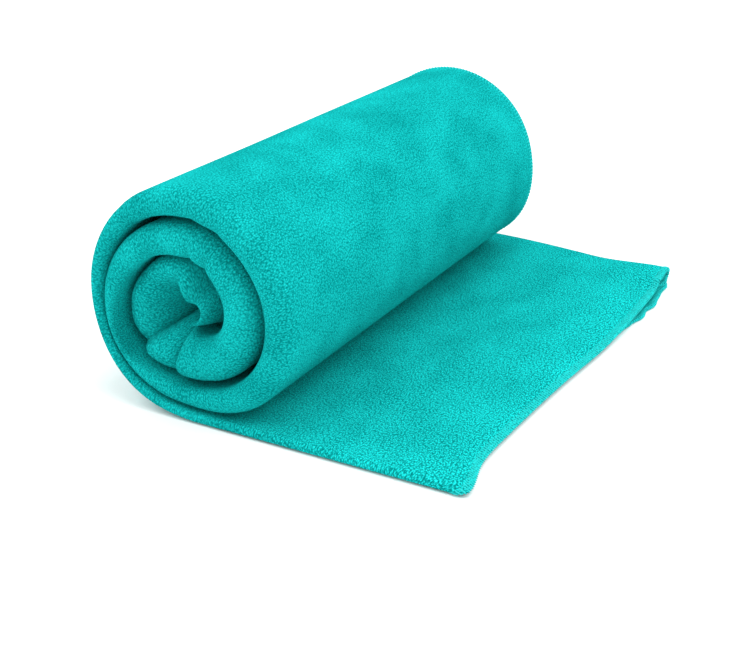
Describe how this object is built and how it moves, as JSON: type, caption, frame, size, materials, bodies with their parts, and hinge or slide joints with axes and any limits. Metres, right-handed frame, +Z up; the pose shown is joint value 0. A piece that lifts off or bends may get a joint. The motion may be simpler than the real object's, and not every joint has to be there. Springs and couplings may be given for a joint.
{
  "type": "travel towel",
  "caption": "Thin terry travel towel, folded in three along its length, rolled up, with its overlocked outer end lying flat on the surface.",
  "frame": {"origin": "middle of the footprint, on the surface that the towel lies on", "axes": "+Y along the roll, from the near fold to the far fold; +X from the roll to the end of the tail; +Z up"},
  "size_m": [0.1446, 0.2, 0.08],
  "materials": {
    "terry_cloth": "short looped pile, matt",
    "overlock_thread": "twisted thread, matt"
  },
  "bodies": {
    "roll": {"outer_turn_near_flap": "terry_cloth", "outer_turn_near_flap_overlock": "overlock_thread", "outer_turn_far_flap": "terry_cloth", "outer_turn_far_flap_overlock": "overlock_thread", "outer_turn_back_panel": "terry_cloth", "second_turn_outer_ply": "terry_cloth", "second_turn_middle_ply": "terry_cloth", "second_turn_inner_ply": "terry_cloth", "third_turn_outer_ply": "terry_cloth", "third_turn_middle_ply": "terry_cloth", "third_turn_inner_ply": "terry_cloth", "core_curl": "terry_cloth", "inner_end_overlock": "overlock_thread"},
    "tail_root": {"tail_root_near_flap": "terry_cloth", "tail_root_near_flap_overlock": "overlock_thread", "tail_root_far_flap": "terry_cloth", "tail_root_far_flap_overlock": "overlock_thread", "tail_root_back_panel": "terry_cloth"},
    "tail_end": {"tail_end_near_flap": "terry_cloth", "tail_end_near_flap_overlock": "overlock_thread", "tail_end_far_flap": "terry_cloth", "tail_end_far_flap_overlock": "overlock_thread", "tail_end_back_panel": "terry_cloth", "end_overlock": "overlock_thread"}
  },
  "joints": [
    {"name": "tail_root_bend", "type": "hinge", "parent": "roll", "child": "tail_root", "pos_m": [0.0096, 0, 0.00435], "axis": [0, -1, 0], "range_deg": [0, 60]},
    {"name": "tail_end_bend", "type": "hinge", "parent": "tail_root", "child": "tail_end", "pos_m": [0.0396, 0, 0.00435], "axis": [0, -1, 0], "range_deg": [0, 60]}
  ]
}
